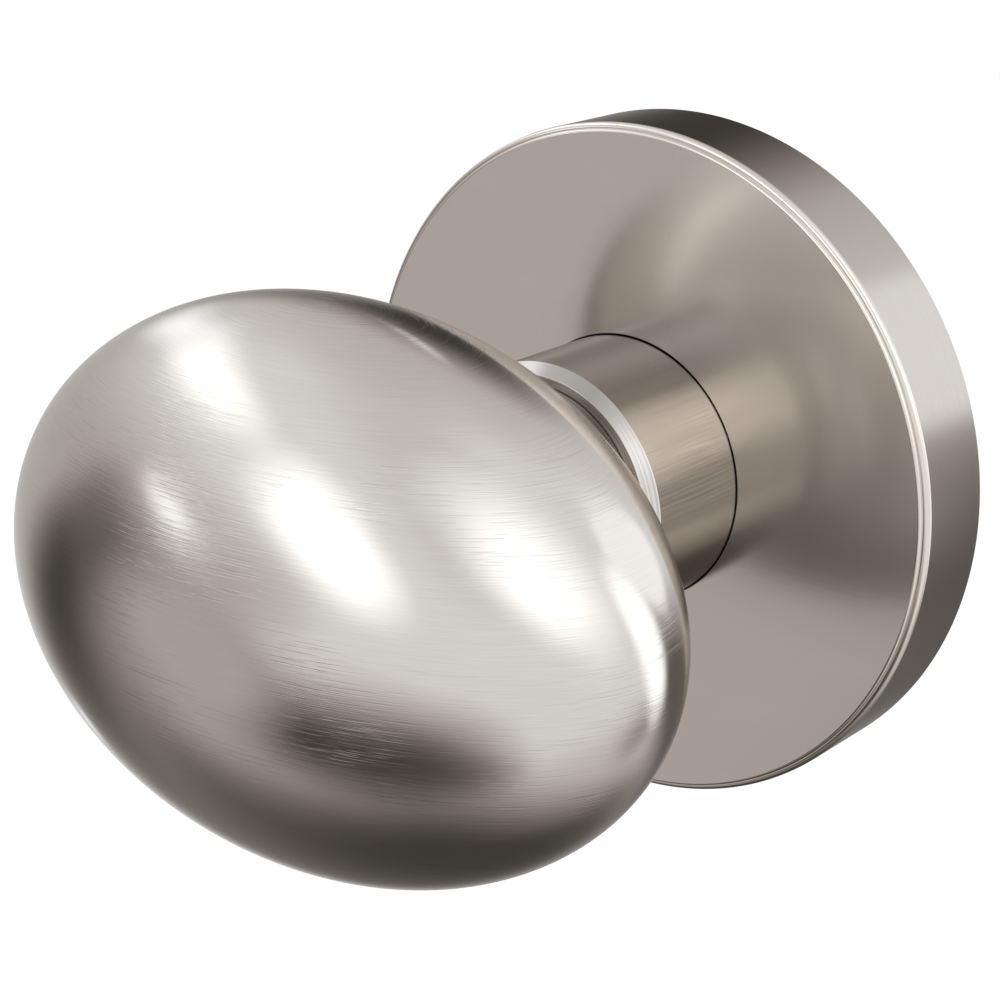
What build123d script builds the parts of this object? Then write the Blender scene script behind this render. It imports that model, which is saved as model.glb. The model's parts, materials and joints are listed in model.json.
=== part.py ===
from build123d import *
import math
import os

# Door knob on a round rose: the outer half of a sprung passage set.
# The origin is the centre of the rose's back, on the spindle's axis.  The door face is
# the plane Y = 0, the knob points out of the door along -Y, and +Z is up.
# "Out" below is the distance from the door face along -Y.  What lies inside the door
# has a negative "out".  All sizes are in millimetres.

# ---------------------------------------------------------------- driving dimensions
# Rose cover
ROSE_RADIUS = 33.0
ROSE_THICKNESS = 9.5
ROSE_FACE_WALL = 1.6
ROSE_SKIRT_WALL = 1.8
RIM_LEDGE_WIDTH = 0.6
RIM_STEP_DEPTH = 0.32
RIM_INNER_ROUND = 0.3
RIM_OUTER_ROUND = 0.55
ROSE_INNER_ROUND = 0.8
SNAP_GROOVE_DEPTH = 0.5
SNAP_GROOVE_WIDTH = 1.8
SNAP_GROOVE_OUT = 5.1

# Knob head, an egg with its long axis level
KNOB_WIDTH = 68.0
KNOB_HEIGHT = 49.2
KNOB_DEPTH = 38.4
KNOB_WALL = 1.8
SEAM_LAP_LENGTH = 3.0
SEAM_LAP_WALL = 0.8
SEAM_LAP_GAP = 0.05

# Neck between the rose and the knob head
NECK_RADIUS = 13.0
NECK_LENGTH = 12.8
NECK_WALL = 1.5
NECK_END_WALL = 2.0
NECK_SHOULDER_CHAMFER = 1.0
NECK_TO_SHANK_FLANGE_GAP = 0.2
FOOT_RADIUS = 11.2
FOOT_LENGTH = 8.3
FOOT_FILLET = 6.0

# Shank, the steel core that joins the knob to the spindle
THREAD_RADIUS = 8.0
THREAD_FLAT = 7.0
THREAD_BEYOND_NUT = 0.8
BODY_STEP = 1.5
FLANGE_THICKNESS = 4.0
FLANGE_FIT = 0.05
TAIL_RADIUS = 7.5
TAIL_FLAT = 6.6
TAIL_BEYOND_PIN = 2.4
SOCKET_DEPTH = 28.0
CORNER_BREAK = 0.4

# Nut and washer inside the knob head
BACKING_WASHER_RADIUS = 11.5
BACKING_WASHER_THICKNESS = 1.2
NUT_ACROSS_FLATS = 22.0
NUT_THICKNESS = 4.0
SEAT_MARGIN = 0.8

# Mounting plate and its collar
PLATE_THICKNESS = 2.0
PLATE_EDGE_GAP = 0.15
PLATE_BORE_GAP = 0.5
COLLAR_HEIGHT = 4.4
COLLAR_WALL = 1.3

# Bushes and washers
RUNNING_GAP = 0.05
NECK_HOLE_GAP = 0.15
NECK_BUSH_WALL = 1.25
NECK_BUSH_SEAT_GAP = 0.05
THRUST_WASHER_SPACE = 1.0
THRUST_WASHER_BORE_GAP = 0.6
THRUST_WASHER_RIM_GAP = 0.6
TAIL_BUSH_WALL = 1.15
TAIL_BUSH_FLANGE_WIDTH = 1.3
TAIL_BUSH_FLANGE_THICKNESS = 0.7

# Spring cage, cam and return spring
CAGE_WALL = 1.2
CAGE_FLOOR = 1.2
CAGE_EAR_RADIUS = 3.6
CAGE_EAR_THICKNESS = 1.5
CAM_HUB_WALL = 1.1
CAM_PLATE_THICKNESS = 2.2
CAM_FRONT_GAP = 0.3
CAM_REAR_GAP = 0.2
LUG_WALL = 1.15
LUG_HALF_ANGLE = 8.0
STOP_HALF_ANGLE = 4.0
STOP_GAP_ANGLE = 0.4
TAB_WALL = 1.4
SLIDING_GAP = 0.3
TURN_LIMIT = 50.0
SPRING_WIRE = 1.2
SPRING_TURNS = 2
SPRING_COIL_SPACING = 1.45
SPRING_ROOM_INSIDE = 0.75
SPRING_ROOM_OUTSIDE = 0.2
SPRING_LEG_GAP_ANGLE = 1.0

# Retaining ring and disc spring
DISC_SPRING_SHEET = 0.4
DISC_SPRING_RISE = 0.4
DISC_SPRING_WIDTH = 2.2
CIRCLIP_THICKNESS = 1.0
CIRCLIP_DEPTH = 0.6
CIRCLIP_WIDTH = 1.6
CIRCLIP_MOUTH = 3.2
CIRCLIP_EYE_RADIUS = 1.7
CIRCLIP_EYE_HOLE = 0.75
CIRCLIP_GROOVE_GAP = 0.1

# Half spindle and its pin
SPINDLE_ACROSS = 8.0
SPINDLE_GAP = 0.1
SPINDLE_INSIDE_DOOR = 26.0
SPINDLE_CHAMFER = 0.8
PIN_RADIUS = 1.25
PIN_WALL = 0.35
PIN_SLOT = 0.5
PIN_BEHIND_CIRCLIP = 2.2

# Fixings
FIXING_SPACING = 38.1
POST_LENGTH = 10.0
POST_RADIUS = 3.4
POST_NECK_RADIUS = 2.6
POST_HEAD_RADIUS = 3.4
POST_THREAD_RADIUS = 2.1
POST_CHAMFER = 0.5
CAGE_SCREW_RADIUS = 1.5
CAGE_SCREW_HEAD_RADIUS = 2.8
CAGE_SCREW_HEAD_HEIGHT = 1.6
CAGE_SCREW_GAP = 0.6
CAGE_SCREW_SLOT_WIDTH = 0.8
CAGE_SCREW_SLOT_DEPTH = 0.8
CLIP_COUNT = 3
CLIP_FIRST_ANGLE = 30.0
CLIP_SHEET = 0.6
CLIP_WIDTH = 7.0
CLIP_BASE_LENGTH = 7.5
CLIP_FREE_LENGTH = 1.8
RIVET_RADIUS = 1.5
RIVET_HEAD_RADIUS = 2.6
RIVET_HEAD_HEIGHT = 1.0

# ---------------------------------------------------------------- places worked out
MATCH = 0.01  # how near a size must be to count as the same when edges are chosen

plateau_radius = ROSE_RADIUS - RIM_LEDGE_WIDTH
ledge_out = ROSE_THICKNESS - RIM_STEP_DEPTH
skirt_inner_radius = ROSE_RADIUS - ROSE_SKIRT_WALL
rose_inside_out = ROSE_THICKNESS - ROSE_FACE_WALL
rose_hole_radius = NECK_RADIUS + NECK_HOLE_GAP

neck_end_out = ROSE_THICKNESS + NECK_LENGTH
neck_inner_radius = NECK_RADIUS - NECK_WALL
foot_end_out = neck_end_out + FOOT_LENGTH
knob_back_out = foot_end_out
knob_centre_out = knob_back_out + KNOB_DEPTH / 2
lap_back_out = knob_centre_out - SEAM_LAP_LENGTH
lap_front_out = knob_centre_out + SEAM_LAP_LENGTH
seat_out = knob_back_out + KNOB_WALL + SEAT_MARGIN + KNOB_WALL
nut_out = seat_out + BACKING_WASHER_THICKNESS
thread_end_out = nut_out + NUT_THICKNESS + THREAD_BEYOND_NUT

thrust_back_out = PLATE_THICKNESS + RUNNING_GAP
flange_back_out = PLATE_THICKNESS + THRUST_WASHER_SPACE
flange_front_out = flange_back_out + FLANGE_THICKNESS
flange_radius = neck_inner_radius - FLANGE_FIT
body_radius = THREAD_RADIUS + BODY_STEP
body_front_out = neck_end_out - NECK_END_WALL
sleeve_back_out = flange_back_out + NECK_TO_SHANK_FLANGE_GAP

plate_radius = skirt_inner_radius - PLATE_EDGE_GAP
plate_bore = TAIL_RADIUS + PLATE_BORE_GAP
neck_bush_bore = NECK_RADIUS + RUNNING_GAP
collar_inner_radius = neck_bush_bore + NECK_BUSH_WALL
collar_outer_radius = collar_inner_radius + COLLAR_WALL
collar_end_out = PLATE_THICKNESS + COLLAR_HEIGHT

cam_hub_radius = TAIL_RADIUS + CAM_HUB_WALL
coil_radius = cam_hub_radius + SPRING_ROOM_INSIDE + SPRING_WIRE / 2
lug_inner_radius = coil_radius + SPRING_WIRE / 2 + SPRING_ROOM_OUTSIDE
lug_outer_radius = lug_inner_radius + LUG_WALL
tab_inner_radius = lug_outer_radius + SLIDING_GAP
cage_inner_radius = tab_inner_radius + TAB_WALL
cage_outer_radius = cage_inner_radius + CAGE_WALL
cam_plate_back_out = -CAM_FRONT_GAP - CAM_PLATE_THICKNESS
leg_half_angle = math.degrees(SPRING_WIRE / 2 / lug_inner_radius)
leg_angle = LUG_HALF_ANGLE + leg_half_angle + SPRING_LEG_GAP_ANGLE
coil_turns = SPRING_TURNS + 2 * leg_angle / 360
coil_start_out = cam_plate_back_out - SLIDING_GAP - SPRING_WIRE / 2
coil_end_out = coil_start_out - coil_turns * SPRING_COIL_SPACING
cage_floor_out = coil_end_out - SPRING_WIRE / 2 - SLIDING_GAP
cage_back_out = cage_floor_out - CAGE_FLOOR
cam_back_out = cage_floor_out + CAM_REAR_GAP
stop_angle = TURN_LIMIT + LUG_HALF_ANGLE + STOP_GAP_ANGLE + STOP_HALF_ANGLE

tail_bush_bore = TAIL_RADIUS + RUNNING_GAP
tail_bush_radius = tail_bush_bore + TAIL_BUSH_WALL
tail_bush_flange_radius = tail_bush_radius + TAIL_BUSH_FLANGE_WIDTH
tail_bush_back_out = cage_back_out - TAIL_BUSH_FLANGE_THICKNESS
disc_spring_front_out = tail_bush_back_out - RUNNING_GAP
disc_spring_back_out = disc_spring_front_out - DISC_SPRING_SHEET - DISC_SPRING_RISE
circlip_groove_radius = TAIL_RADIUS - CIRCLIP_DEPTH
circlip_back_out = disc_spring_back_out - CIRCLIP_THICKNESS
groove_back_out = circlip_back_out - CIRCLIP_GROOVE_GAP
pin_out = groove_back_out - PIN_BEHIND_CIRCLIP
tail_end_out = pin_out - TAIL_BEYOND_PIN
socket_end_out = tail_end_out + SOCKET_DEPTH
spindle_front_out = socket_end_out - SPINDLE_GAP

socket_across = SPINDLE_ACROSS + 2 * SPINDLE_GAP
pin_half_length = TAIL_RADIUS - CORNER_BREAK
circlip_eye_x = CIRCLIP_MOUTH / 2 + CIRCLIP_EYE_RADIUS

post_places = [-FIXING_SPACING / 2, FIXING_SPACING / 2]
cage_screw_radius_place = cage_outer_radius + CAGE_SCREW_HEAD_RADIUS + CAGE_SCREW_GAP
cage_screw_places = [-cage_screw_radius_place, cage_screw_radius_place]
clip_angles = [CLIP_FIRST_ANGLE + 360 / CLIP_COUNT * n for n in range(CLIP_COUNT)]
clip_leg_radius = skirt_inner_radius - 2 * CLIP_SHEET
clip_base_start = clip_leg_radius - CLIP_BASE_LENGTH
rivet_place = clip_base_start + CLIP_BASE_LENGTH / 2
rivet_cap_radius = (RIVET_HEAD_RADIUS**2 + RIVET_HEAD_HEIGHT**2) / (2 * RIVET_HEAD_HEIGHT)

# A turned profile is drawn on this plane as (radius, out) and revolved about Axis.Y.
PROFILE = Plane(origin=(0, 0, 0), x_dir=(1, 0, 0), z_dir=(0, 0, -1))

os.makedirs("parts", exist_ok=True)


# ---------------------------------------------------------------- helpers
def rings(part, radius, out):
    """Circular edges about the spindle's axis with the given radius and place."""
    return part.edges().filter_by(
        lambda edge: edge.geom_type == GeomType.CIRCLE
        and abs(edge.radius - radius) < MATCH
        and abs(edge.arc_center.Y + out) < MATCH
    )


def polar(radius, angle):
    """Point in the rose's plane at an angle from +X towards +Z."""
    turn = math.radians(angle)
    return (radius * math.cos(turn), radius * math.sin(turn))


def radial_profile(angle):
    """Plane through the spindle's axis, drawn on as (radius, out)."""
    x, z = polar(1, angle)
    return Plane(origin=(0, 0, 0), x_dir=(x, 0, z), z_dir=(z, 0, -x))


def offset_profile(x, z):
    """Profile plane of a turned piece whose axis stands at x, z."""
    return Plane(origin=(x, 0, z), x_dir=(1, 0, 0), z_dir=(0, 0, -1))


def offset_axis(x, z):
    """Axis square to the door through x, z."""
    return Axis((x, 0, z), (0, 1, 0))


def keep_sector(middle, half, reach):
    """Keeps the part of the open sketch that lies between two radial lines."""
    corners = [(0, 0), polar(reach, middle - half), polar(reach, middle + half)]
    Polygon(*corners, align=None, mode=Mode.INTERSECT)


def double_flat(radius, flat):
    """Draws a round with two flats, left and right, in the open sketch."""
    Circle(radius)
    Rectangle(2 * flat, 2 * radius, mode=Mode.INTERSECT)


def egg(inset):
    """Solid egg of the knob's outer shape, smaller all round by an inset."""
    half_sizes = (KNOB_WIDTH / 2 - inset, KNOB_DEPTH / 2 - inset, KNOB_HEIGHT / 2 - inset)
    return Pos(0, -knob_centre_out, 0) * scale(Rot(90, 0, 0) * Sphere(1), by=half_sizes)


def egg_between(inset, low_out, high_out):
    """Slice of the egg between two distances from the door face."""
    above = split(egg(inset), bisect_by=Plane.XZ.offset(low_out), keep=Keep.TOP)
    return split(above, bisect_by=Plane.XZ.offset(high_out), keep=Keep.BOTTOM)


# ---------------------------------------------------------------- rose, fixed to the door
with BuildPart() as rose_cover:
    with BuildSketch(PROFILE):
        with BuildLine():
            Polyline(
                (rose_hole_radius, rose_inside_out),
                (rose_hole_radius, ROSE_THICKNESS),
                (plateau_radius, ROSE_THICKNESS),
                (plateau_radius, ledge_out),
                (ROSE_RADIUS, ledge_out),
                (ROSE_RADIUS, 0),
                (skirt_inner_radius, 0),
                (skirt_inner_radius, rose_inside_out),
                close=True,
            )
        make_face()
    revolve(axis=Axis.Y)
    fillet(rings(rose_cover, plateau_radius, ROSE_THICKNESS), radius=RIM_INNER_ROUND)
    fillet(rings(rose_cover, ROSE_RADIUS, ledge_out), radius=RIM_OUTER_ROUND)
    fillet(rings(rose_cover, skirt_inner_radius, rose_inside_out), radius=ROSE_INNER_ROUND)
    # groove inside the skirt that the spring clips snap into
    with BuildSketch(PROFILE):
        with Locations((skirt_inner_radius + SNAP_GROOVE_DEPTH / 2, SNAP_GROOVE_OUT)):
            Rectangle(SNAP_GROOVE_DEPTH, SNAP_GROOVE_WIDTH)
    revolve(axis=Axis.Y, mode=Mode.SUBTRACT)

with BuildPart() as mounting_plate:
    with BuildSketch(PROFILE):
        with BuildLine():
            Polyline(
                (plate_bore, 0),
                (plate_radius, 0),
                (plate_radius, PLATE_THICKNESS),
                (collar_outer_radius, PLATE_THICKNESS),
                (collar_outer_radius, collar_end_out),
                (collar_inner_radius, collar_end_out),
                (collar_inner_radius, PLATE_THICKNESS),
                (plate_bore, PLATE_THICKNESS),
                close=True,
            )
        make_face()
    revolve(axis=Axis.Y)
    chamfer(rings(mounting_plate, plate_radius, PLATE_THICKNESS), length=CORNER_BREAK)
    with Locations(Plane.XZ.offset(PLATE_THICKNESS)):
        with Locations(*[(x, 0) for x in post_places]):
            CounterSinkHole(POST_NECK_RADIUS, POST_HEAD_RADIUS, counter_sink_angle=90)
        with Locations(*[(0, z) for z in cage_screw_places]):
            Hole(CAGE_SCREW_RADIUS)
        with Locations(*[polar(rivet_place, angle) for angle in clip_angles]):
            Hole(RIVET_RADIUS)

with BuildPart() as neck_bush:
    with BuildSketch(PROFILE):
        with BuildLine():
            Polyline(
                (neck_bush_bore, PLATE_THICKNESS),
                (collar_inner_radius, PLATE_THICKNESS),
                (collar_inner_radius, collar_end_out),
                (collar_outer_radius, collar_end_out),
                (collar_outer_radius, rose_inside_out - NECK_BUSH_SEAT_GAP),
                (neck_bush_bore, rose_inside_out - NECK_BUSH_SEAT_GAP),
                close=True,
            )
        make_face()
    revolve(axis=Axis.Y)

with BuildPart() as threaded_posts:
    for x in post_places:
        with BuildSketch(offset_profile(x, 0)):
            with BuildLine():
                Polyline(
                    (POST_THREAD_RADIUS, -POST_LENGTH),
                    (POST_RADIUS - POST_CHAMFER, -POST_LENGTH),
                    (POST_RADIUS, -POST_LENGTH + POST_CHAMFER),
                    (POST_RADIUS, 0),
                    (POST_NECK_RADIUS, 0),
                    (POST_NECK_RADIUS, PLATE_THICKNESS - POST_HEAD_RADIUS + POST_NECK_RADIUS),
                    (POST_HEAD_RADIUS, PLATE_THICKNESS),
                    (POST_THREAD_RADIUS, PLATE_THICKNESS),
                    close=True,
                )
            make_face()
        revolve(axis=offset_axis(x, 0))

with BuildPart() as cover_clips:
    for angle in clip_angles:
        with BuildSketch(radial_profile(angle)):
            with BuildLine():
                Polyline(
                    (clip_base_start, PLATE_THICKNESS + CLIP_SHEET / 2),
                    (clip_leg_radius - CLIP_SHEET / 2, PLATE_THICKNESS + CLIP_SHEET / 2),
                    (clip_leg_radius, PLATE_THICKNESS + 2 * CLIP_SHEET),
                    (skirt_inner_radius - CLIP_SHEET / 4, SNAP_GROOVE_OUT),
                    (clip_leg_radius, SNAP_GROOVE_OUT + CLIP_FREE_LENGTH),
                )
            trace(line_width=CLIP_SHEET)
        extrude(amount=CLIP_WIDTH / 2, both=True)
    with Locations(Plane.XZ.offset(PLATE_THICKNESS + CLIP_SHEET)):
        with Locations(*[polar(rivet_place, angle) for angle in clip_angles]):
            Hole(RIVET_RADIUS, depth=CLIP_SHEET)

with BuildPart() as clip_rivets:
    for angle in clip_angles:
        x, z = polar(rivet_place, angle)
        head_out = PLATE_THICKNESS + CLIP_SHEET
        with BuildSketch(offset_profile(x, z)):
            with BuildLine():
                Polyline(
                    (0, head_out + RIVET_HEAD_HEIGHT),
                    (0, 0),
                    (RIVET_RADIUS, 0),
                    (RIVET_RADIUS, head_out),
                    (RIVET_HEAD_RADIUS, head_out),
                )
                RadiusArc(
                    (RIVET_HEAD_RADIUS, head_out),
                    (0, head_out + RIVET_HEAD_HEIGHT),
                    -rivet_cap_radius,
                )
            make_face()
        revolve(axis=offset_axis(x, z))

with BuildPart() as spring_cage:
    with BuildSketch(PROFILE):
        with BuildLine():
            Polyline(
                (tail_bush_radius, cage_back_out),
                (cage_outer_radius, cage_back_out),
                (cage_outer_radius, 0),
                (cage_inner_radius, 0),
                (cage_inner_radius, cage_floor_out),
                (tail_bush_radius, cage_floor_out),
                close=True,
            )
        make_face()
    revolve(axis=Axis.Y)
    fillet(rings(spring_cage, cage_outer_radius, cage_back_out), radius=CAGE_WALL / 2)
    # two ears, above and below, that the cage is screwed on by
    with BuildSketch(Plane.XZ):
        for z in cage_screw_places:
            with Locations((0, z)):
                Circle(CAGE_EAR_RADIUS)
            with Locations((0, z / 2)):
                Rectangle(2 * CAGE_EAR_RADIUS, abs(z))
        Circle(cage_inner_radius + CAGE_WALL / 2, mode=Mode.SUBTRACT)
        with Locations(*[(0, z) for z in cage_screw_places]):
            Circle(CAGE_SCREW_RADIUS, mode=Mode.SUBTRACT)
    extrude(amount=-CAGE_EAR_THICKNESS)
    # tab at the top that holds back the leg that isn't pushed
    with BuildSketch(Plane.XZ.offset(cage_floor_out)):
        Circle(cage_inner_radius + CAGE_WALL / 2)
        Circle(tab_inner_radius, mode=Mode.SUBTRACT)
        keep_sector(90, LUG_HALF_ANGLE, 2 * cage_outer_radius)
    extrude(amount=coil_start_out + SPRING_WIRE / 2 - cage_floor_out)
    # ribs that the cam's ear meets at both ends of the turn
    for middle in (-90 - stop_angle, -90 + stop_angle):
        with BuildSketch(Plane.XZ):
            Circle(cage_inner_radius + CAGE_WALL / 2)
            Circle(tab_inner_radius, mode=Mode.SUBTRACT)
            keep_sector(middle, STOP_HALF_ANGLE, 2 * cage_outer_radius)
        extrude(amount=cam_plate_back_out)

with BuildPart() as cage_screws:
    for z in cage_screw_places:
        with BuildSketch(offset_profile(0, z)):
            with BuildLine():
                Polyline(
                    (0, PLATE_THICKNESS - CORNER_BREAK),
                    (0, -CAGE_EAR_THICKNESS - CAGE_SCREW_HEAD_HEIGHT),
                    (CAGE_SCREW_HEAD_RADIUS - CORNER_BREAK, -CAGE_EAR_THICKNESS - CAGE_SCREW_HEAD_HEIGHT),
                    (CAGE_SCREW_HEAD_RADIUS, -CAGE_EAR_THICKNESS - CAGE_SCREW_HEAD_HEIGHT + CORNER_BREAK),
                    (CAGE_SCREW_HEAD_RADIUS, -CAGE_EAR_THICKNESS),
                    (CAGE_SCREW_RADIUS, -CAGE_EAR_THICKNESS),
                    (CAGE_SCREW_RADIUS, PLATE_THICKNESS - CORNER_BREAK),
                    close=True,
                )
            make_face()
        revolve(axis=offset_axis(0, z))
    with BuildSketch(Plane.XZ.offset(-CAGE_EAR_THICKNESS - CAGE_SCREW_HEAD_HEIGHT)):
        with Locations(*[(0, z) for z in cage_screw_places]):
            Rectangle(2 * CAGE_SCREW_HEAD_RADIUS, CAGE_SCREW_SLOT_WIDTH)
    extrude(amount=CAGE_SCREW_SLOT_DEPTH, mode=Mode.SUBTRACT)

with BuildPart() as tail_bush:
    with BuildSketch(PROFILE):
        with BuildLine():
            Polyline(
                (tail_bush_bore, cage_floor_out),
                (tail_bush_radius, cage_floor_out),
                (tail_bush_radius, cage_back_out),
                (tail_bush_flange_radius, cage_back_out),
                (tail_bush_flange_radius, tail_bush_back_out),
                (tail_bush_bore, tail_bush_back_out),
                close=True,
            )
        make_face()
    revolve(axis=Axis.Y)

# Torsion spring: a coil round the cam's hub with a leg on each side of the lug.
leg_directions = [Vector(x, 0, z) for x, z in (polar(1, 90 + leg_angle), polar(1, 90 - leg_angle))]
leg_outs = [coil_start_out, coil_end_out]
coil_base = Plane(origin=(0, -coil_start_out, 0), x_dir=leg_directions[0], z_dir=(0, 1, 0))
coil = coil_base * Helix(SPRING_COIL_SPACING, coil_turns * SPRING_COIL_SPACING, coil_radius)
with BuildPart() as return_spring:
    with BuildSketch(Plane(origin=coil @ 0, z_dir=coil % 0)):
        Circle(SPRING_WIRE / 2)
    sweep(path=coil, is_frenet=True)
    for direction, out in zip(leg_directions, leg_outs):
        leg_start = direction * (coil_radius - SPRING_WIRE / 4) + Vector(0, -out, 0)
        with BuildSketch(Plane(origin=leg_start, z_dir=direction)):
            Circle(SPRING_WIRE / 2)
        extrude(amount=cage_inner_radius - SLIDING_GAP - coil_radius + SPRING_WIRE / 4)

# ---------------------------------------------------------------- knob, turns on the spindle's axis
outer_egg = egg(0)
inner_egg = egg(KNOB_WALL)
lap_egg = egg_between(KNOB_WALL + SEAM_LAP_GAP, lap_back_out, lap_front_out)
lap_hollow = egg_between(KNOB_WALL + SEAM_LAP_GAP + SEAM_LAP_WALL, seat_out, lap_front_out + KNOB_WALL)
back_hollow = egg_between(KNOB_WALL, seat_out, lap_back_out)

with BuildPart() as knob_front_shell:
    add(outer_egg)
    add(inner_egg, mode=Mode.SUBTRACT)
    split(bisect_by=Plane.XZ.offset(knob_centre_out), keep=Keep.TOP)

with BuildPart() as knob_back_shell:
    add(outer_egg)
    split(bisect_by=Plane.XZ.offset(knob_centre_out), keep=Keep.BOTTOM)
    # turned foot that stands on the neck
    with BuildSketch(Plane.XZ.offset(neck_end_out)):
        Circle(FOOT_RADIUS)
    extrude(amount=seat_out - neck_end_out)
    foot_seam = knob_back_shell.edges().filter_by(
        lambda edge: edge.geom_type != GeomType.CIRCLE
        and abs(edge.center().Y + foot_end_out) < KNOB_DEPTH / 4
    )
    fillet(foot_seam, radius=FOOT_FILLET)
    # lap that enters the front shell and is brazed to it
    add(lap_egg)
    add(lap_hollow, mode=Mode.SUBTRACT)
    add(back_hollow, mode=Mode.SUBTRACT)
    with BuildSketch(Plane.XZ.offset(neck_end_out)):
        double_flat(THREAD_RADIUS, THREAD_FLAT)
    extrude(amount=KNOB_DEPTH / 2, mode=Mode.SUBTRACT)

with BuildPart() as neck_sleeve:
    with BuildSketch(PROFILE):
        with BuildLine():
            Polyline(
                (THREAD_RADIUS, neck_end_out),
                (NECK_RADIUS, neck_end_out),
                (NECK_RADIUS, sleeve_back_out),
                (neck_inner_radius, sleeve_back_out),
                (neck_inner_radius, body_front_out),
                (THREAD_RADIUS, body_front_out),
                close=True,
            )
        make_face()
    revolve(axis=Axis.Y)
    chamfer(rings(neck_sleeve, NECK_RADIUS, neck_end_out), length=NECK_SHOULDER_CHAMFER)

with BuildPart() as knob_shank:
    with BuildSketch(PROFILE):
        with BuildLine():
            Polyline(
                (0, thread_end_out),
                (THREAD_RADIUS, thread_end_out),
                (THREAD_RADIUS, body_front_out),
                (body_radius, body_front_out),
                (body_radius, flange_front_out),
                (flange_radius, flange_front_out),
                (flange_radius, flange_back_out),
                (TAIL_RADIUS, flange_back_out),
                (TAIL_RADIUS, disc_spring_back_out),
                (circlip_groove_radius, disc_spring_back_out),
                (circlip_groove_radius, groove_back_out),
                (TAIL_RADIUS, groove_back_out),
                (TAIL_RADIUS, tail_end_out),
                (0, tail_end_out),
                close=True,
            )
        make_face()
    revolve(axis=Axis.Y)
    chamfer(rings(knob_shank, THREAD_RADIUS, thread_end_out), length=CORNER_BREAK)
    chamfer(rings(knob_shank, TAIL_RADIUS, tail_end_out), length=CORNER_BREAK)
    # two flats on the thread, for the knob, and two on the tail, for the cam
    with BuildSketch(Plane.XZ.offset(body_front_out)):
        Rectangle(4 * THREAD_RADIUS, 4 * THREAD_RADIUS)
        Rectangle(2 * THREAD_FLAT, 4 * THREAD_RADIUS, mode=Mode.SUBTRACT)
    extrude(amount=thread_end_out - body_front_out, mode=Mode.SUBTRACT)
    with BuildSketch(Plane.XZ):
        Rectangle(4 * TAIL_RADIUS, 4 * TAIL_RADIUS)
        Rectangle(2 * TAIL_FLAT, 4 * TAIL_RADIUS, mode=Mode.SUBTRACT)
    extrude(amount=tail_end_out, mode=Mode.SUBTRACT)
    # square socket for the spindle, and the hole for its pin
    with BuildSketch(Plane.XZ.offset(tail_end_out)):
        Rectangle(socket_across, socket_across)
    extrude(amount=SOCKET_DEPTH, mode=Mode.SUBTRACT)
    with Locations(Plane.XY.offset(TAIL_RADIUS)):
        with Locations((0, -pin_out)):
            Hole(PIN_RADIUS)

with BuildPart() as backing_washer:
    with BuildSketch(Plane.XZ.offset(seat_out)):
        Circle(BACKING_WASHER_RADIUS)
        with BuildSketch(mode=Mode.PRIVATE) as washer_hole:
            double_flat(THREAD_RADIUS, THREAD_FLAT)
        add(washer_hole.sketch, mode=Mode.SUBTRACT)
    extrude(amount=BACKING_WASHER_THICKNESS)

with BuildPart() as core_nut:
    with BuildSketch(Plane.XZ.offset(nut_out)):
        RegularPolygon(NUT_ACROSS_FLATS / 2, side_count=6, major_radius=False)
        Circle(THREAD_RADIUS, mode=Mode.SUBTRACT)
    extrude(amount=NUT_THICKNESS)
    chamfer(core_nut.edges().filter_by(GeomType.CIRCLE), length=CORNER_BREAK)

with BuildPart() as thrust_washer:
    with BuildSketch(Plane.XZ.offset(thrust_back_out)):
        Circle(neck_bush_bore - THRUST_WASHER_RIM_GAP)
        Circle(TAIL_RADIUS + THRUST_WASHER_BORE_GAP, mode=Mode.SUBTRACT)
    extrude(amount=flange_back_out - thrust_back_out)

with BuildPart() as drive_cam:
    with BuildSketch(Plane.XZ.offset(-CAM_FRONT_GAP)):
        Circle(lug_outer_radius)
    extrude(amount=-CAM_PLATE_THICKNESS)
    with BuildSketch(Plane.XZ.offset(cam_plate_back_out)):
        Circle(cam_hub_radius)
    extrude(amount=cam_back_out - cam_plate_back_out)
    # lug at the top, between the spring's legs
    with BuildSketch(Plane.XZ.offset(cam_plate_back_out)):
        Circle(lug_outer_radius)
        Circle(lug_inner_radius, mode=Mode.SUBTRACT)
        keep_sector(90, LUG_HALF_ANGLE, 2 * lug_outer_radius)
    extrude(amount=cam_back_out - cam_plate_back_out)
    # ear at the bottom, which meets the cage's ribs
    with BuildSketch(Plane.XZ.offset(-CAM_FRONT_GAP)):
        Circle(cage_inner_radius - SLIDING_GAP)
        keep_sector(-90, LUG_HALF_ANGLE, 2 * cage_inner_radius)
    extrude(amount=-CAM_PLATE_THICKNESS)
    with BuildSketch(Plane.XZ):
        double_flat(TAIL_RADIUS, TAIL_FLAT)
    extrude(amount=cage_back_out, mode=Mode.SUBTRACT)

with BuildPart() as disc_spring:
    with BuildSketch(PROFILE):
        with BuildLine():
            Polyline(
                (TAIL_RADIUS + RUNNING_GAP, disc_spring_back_out),
                (TAIL_RADIUS + RUNNING_GAP, disc_spring_back_out + DISC_SPRING_SHEET),
                (TAIL_RADIUS + DISC_SPRING_WIDTH, disc_spring_front_out),
                (TAIL_RADIUS + DISC_SPRING_WIDTH, disc_spring_front_out - DISC_SPRING_SHEET),
                close=True,
            )
        make_face()
    revolve(axis=Axis.Y)

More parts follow.
